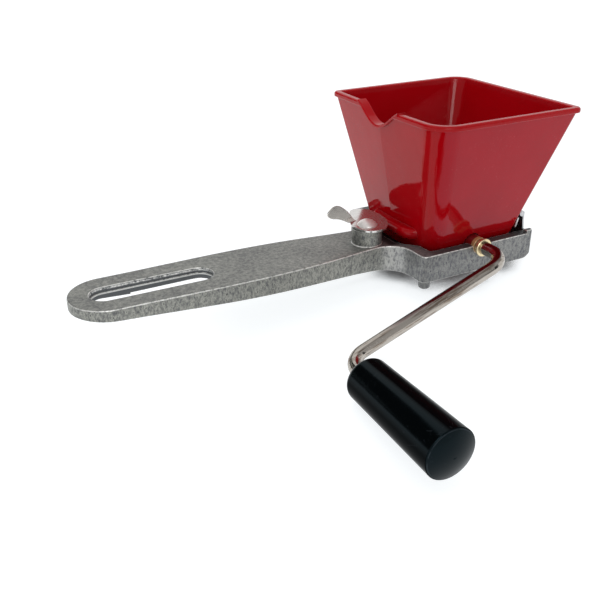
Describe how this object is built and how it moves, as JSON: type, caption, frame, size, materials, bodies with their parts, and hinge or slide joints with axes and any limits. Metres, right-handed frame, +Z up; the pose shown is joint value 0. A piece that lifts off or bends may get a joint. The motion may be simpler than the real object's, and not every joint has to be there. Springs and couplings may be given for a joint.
{
  "type": "hand crank hopper mill",
  "caption": "Hand-held mill: slotted cast handle and open frame under a square funnel that tips up on a hinge, swivel latch, and a bent crank with a tapered grip turning a cutter shaft.",
  "frame": {"origin": "middle of the frame's flat underside, straight below the shaft", "axes": "+Z up out of the funnel, -X along the handle, -Y towards the crank arm and grip"},
  "size_m": [0.239, 0.1769, 0.1085],
  "materials": {
    "casting": "as cast, worn bright on the edges",
    "hopper": "deep red, polished",
    "rod": "worn nickel plate",
    "bush": "turned",
    "latch": "polished plate",
    "hinge": "plain plated sheet",
    "cutter": "ground steel",
    "grip": "black, polished"
  },
  "bodies": {
    "frame": {"frame_casting": "casting", "front_bush": "bush", "rear_bush": "bush", "hinge_leaf_frame": "hinge", "hinge_rivets_frame": "hinge", "hinge_pin": "hinge", "fixed_comb": "cutter", "comb_screws": "hinge", "latch_rivet": "latch", "latch_washer": "latch"},
    "hopper": {"hopper": "hopper", "hinge_leaf_hopper": "hinge", "hinge_rivets_hopper": "hinge"},
    "latch": {"latch_plate": "latch"},
    "crank": {"crank_rod": "rod", "cutter_1": "cutter", "cutter_2": "cutter", "cutter_3": "cutter", "cutter_4": "cutter", "cutter_5": "cutter", "cutter_6": "cutter", "cutter_7": "cutter", "cutter_8": "cutter", "spacer_1": "cutter", "spacer_2": "cutter", "spacer_3": "cutter", "spacer_4": "cutter", "spacer_5": "cutter", "spacer_6": "cutter", "spacer_7": "cutter", "spacer_8": "cutter", "spacer_9": "cutter", "rear_washer": "rod", "rear_nut": "rod", "grip_stop_washer": "rod", "grip_retainer": "rod"},
    "grip": {"grip": "grip", "grip_cap": "grip"}
  },
  "joints": [
    {"name": "hopper_tip", "type": "hinge", "parent": "frame", "child": "hopper", "pos_m": [0.031, 0, 0.0226], "axis": [0, 1, 0], "range_deg": [0, 95]},
    {"name": "latch_swing", "type": "hinge", "parent": "frame", "child": "latch", "pos_m": [-0.047, -0.0042, 0.0221], "axis": [0, 0, 1], "range_deg": [-24, 50]},
    {"name": "crank_turn", "type": "hinge", "parent": "frame", "child": "crank", "pos_m": [0, 0, 0.0132], "axis": [0, 1, 0], "continuous": true},
    {"name": "grip_spin", "type": "hinge", "parent": "crank", "child": "grip", "pos_m": [-0.08719, -0.0985, -0.01785], "axis": [0, 1, 0], "continuous": true}
  ]
}
